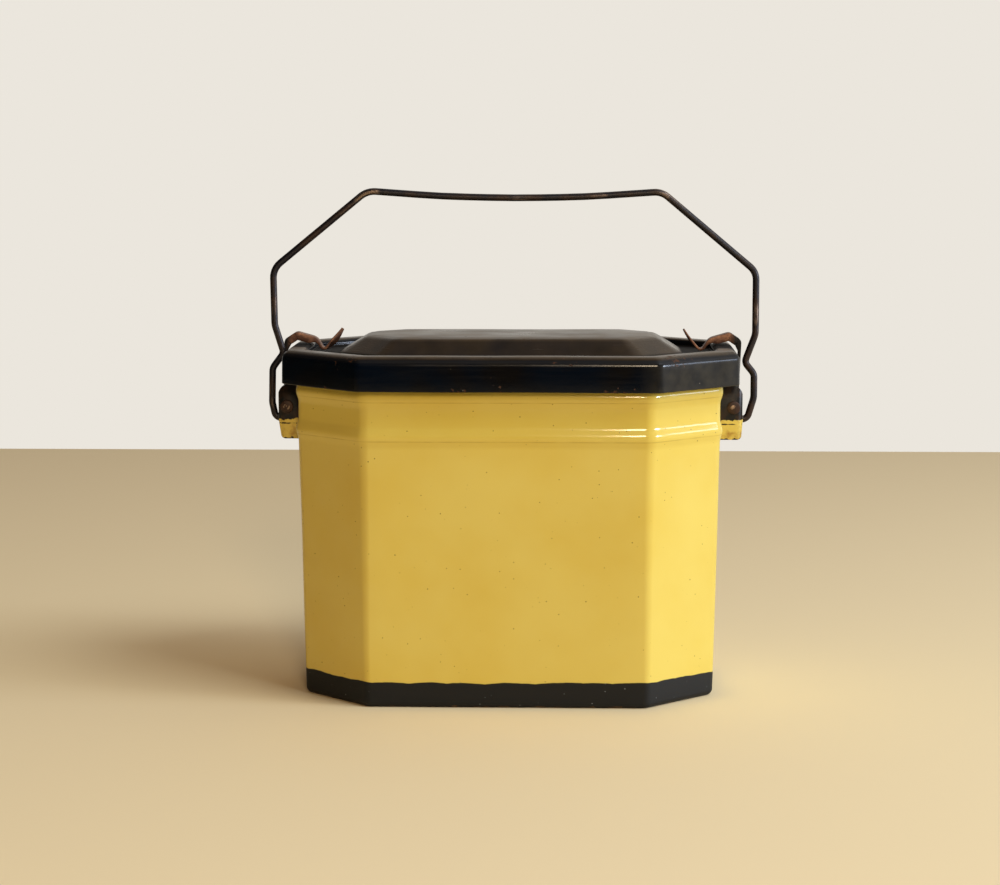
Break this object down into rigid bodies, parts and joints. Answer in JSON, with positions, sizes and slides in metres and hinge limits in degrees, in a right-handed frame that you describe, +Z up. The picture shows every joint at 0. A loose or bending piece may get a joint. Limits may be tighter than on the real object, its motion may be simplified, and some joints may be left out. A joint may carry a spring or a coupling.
{
  "type": "lunch box",
  "caption": "Eight-sided enamelled steel lunch box with a black lift-off lid, swinging wire bail handle and spring clips at the ends that hold the lid shut.",
  "frame": {"origin": "centre of the base, on the plane that the foot ring stands on", "axes": "+X along the box from left ear to right ear, +Y from the front to the back, +Z up"},
  "size_m": [0.2036, 0.1186, 0.2054],
  "materials": {
    "yellow_enamel": "glossy vitreous enamel on sheet steel, with pinholes and a black dipped base band",
    "black_enamel": "glossy black enamel on sheet steel, chipped and rusted on its edges",
    "dark_wire": "drawn steel wire, brown with age",
    "spring_strip": "spring steel strip, worn to a brown patina"
  },
  "bodies": {
    "box": {"body": "yellow_enamel", "ear_left": "yellow_enamel", "ear_right": "yellow_enamel", "clip_pin_left": "dark_wire", "clip_pin_right": "dark_wire"},
    "lid": {"lid": "black_enamel"},
    "bail": {"bail": "dark_wire"},
    "left_clip": {"clip_left": "spring_strip"},
    "right_clip": {"clip_right": "spring_strip"}
  },
  "joints": [
    {"name": "bail_swing", "type": "hinge", "parent": "box", "child": "bail", "pos_m": [0, 0, 0.1105], "axis": [1, 0, 0], "range_deg": [-138, 138]},
    {"name": "clip_left_open", "type": "hinge", "parent": "box", "child": "left_clip", "pos_m": [-0.0912, 0, 0.1162], "axis": [0, -1, 0], "range_deg": [0, 95]},
    {"name": "clip_right_open", "type": "hinge", "parent": "box", "child": "right_clip", "pos_m": [0.0912, 0, 0.1162], "axis": [0, 1, 0], "range_deg": [0, 95]},
    {"name": "lid_lift", "type": "slide", "parent": "box", "child": "lid", "axis": [0, 0, 1], "range_m": [0, 0.03], "deforming": ["clip_left", "clip_right"]}
  ]
}
